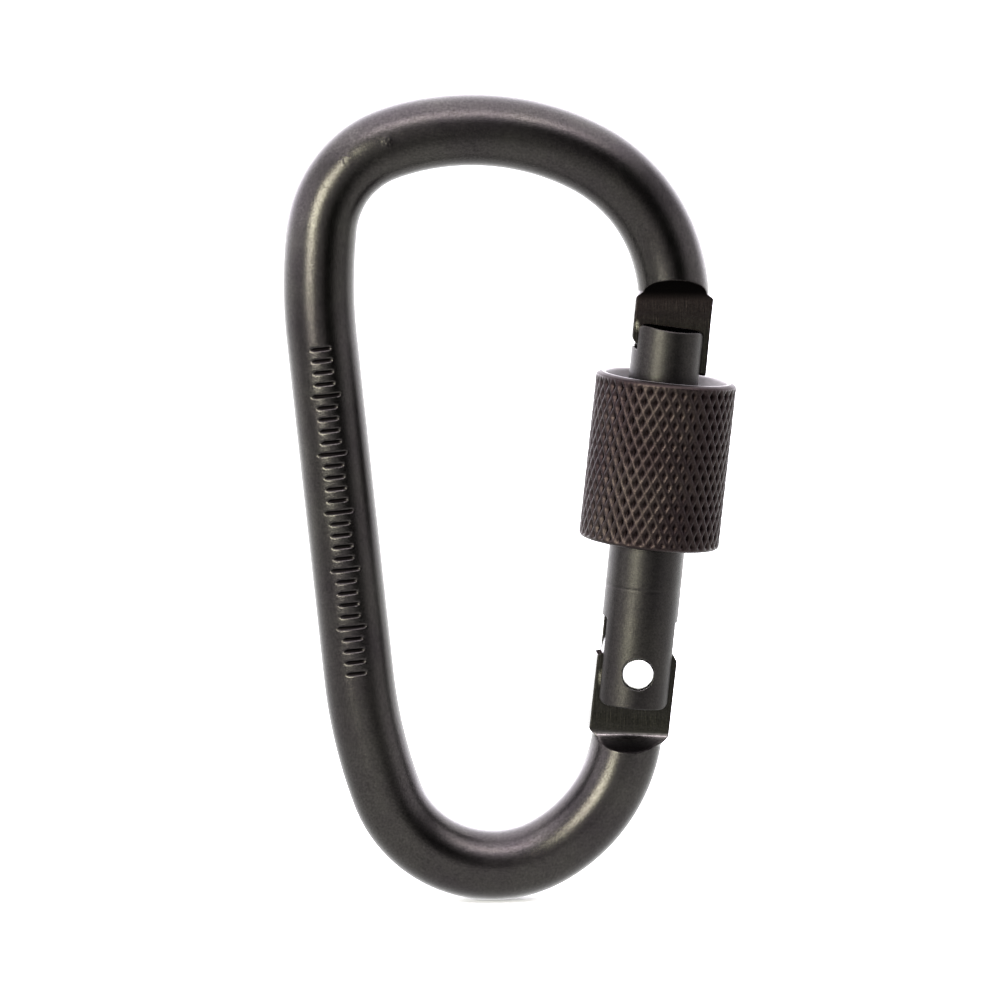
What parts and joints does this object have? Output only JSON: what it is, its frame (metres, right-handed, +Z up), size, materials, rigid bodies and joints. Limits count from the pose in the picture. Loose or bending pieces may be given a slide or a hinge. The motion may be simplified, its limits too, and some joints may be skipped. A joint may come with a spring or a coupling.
{
  "type": "locking carabiner",
  "caption": "Small pear-shaped accessory locking carabiner of bent round bar, with a sprung hinged gate and a knurled sleeve that runs up over the nose.",
  "frame": {"origin": "middle of the underside of the bounding box: below the middle of the carabiner's width, on the plane the lower bend stands on, in the middle plane of the bar", "axes": "+Z up along the carabiner from the lower bend to the upper one, +X from the spine towards the gate, Y the thickness; the bar's middle plane is Y = 0. The gate line leans 6.3 degrees from +Z towards +X"},
  "size_m": [0.0447, 0.0138, 0.0798],
  "materials": {
    "body_anodised": "satin charcoal anodised",
    "gate_anodised": "satin charcoal anodised",
    "sleeve_anodised": "knurled, satin charcoal anodised",
    "rivet_bare": "bare, peened and worn bright",
    "spring_steel": "drawn wire",
    "follower_brass": "turned"
  },
  "bodies": {
    "frame": {"carabiner_body": "body_anodised", "hinge_rivet": "rivet_bare"},
    "gate_body": {"gate": "gate_anodised", "return_spring": "spring_steel"},
    "sleeve_body": {"locking_sleeve": "sleeve_anodised"},
    "follower_body": {"cam_follower": "follower_brass"}
  },
  "joints": [
    {"name": "gate_hinge", "type": "hinge", "parent": "frame", "child": "gate_body", "pos_m": [0.01235, 0, 0.02305], "axis": [0, -1, 0], "range_deg": [0, 38], "stiffness_Nm_per_rad": 0.1, "springref_deg": -28.65},
    {"name": "sleeve_travel", "type": "slide", "parent": "gate_body", "child": "sleeve_body", "axis": [0.1097, 0, 0.994], "range_m": [0, 0.0084]},
    {"name": "follower_slide", "type": "slide", "parent": "gate_body", "child": "follower_body", "axis": [0.1097, 0, 0.994], "range_m": [0, 0.0006], "deforming": ["return_spring"]}
  ],
  "couplings": [
    {"joint": "follower_slide", "follows": "gate_hinge", "m_per_rad": 0.0009}
  ]
}
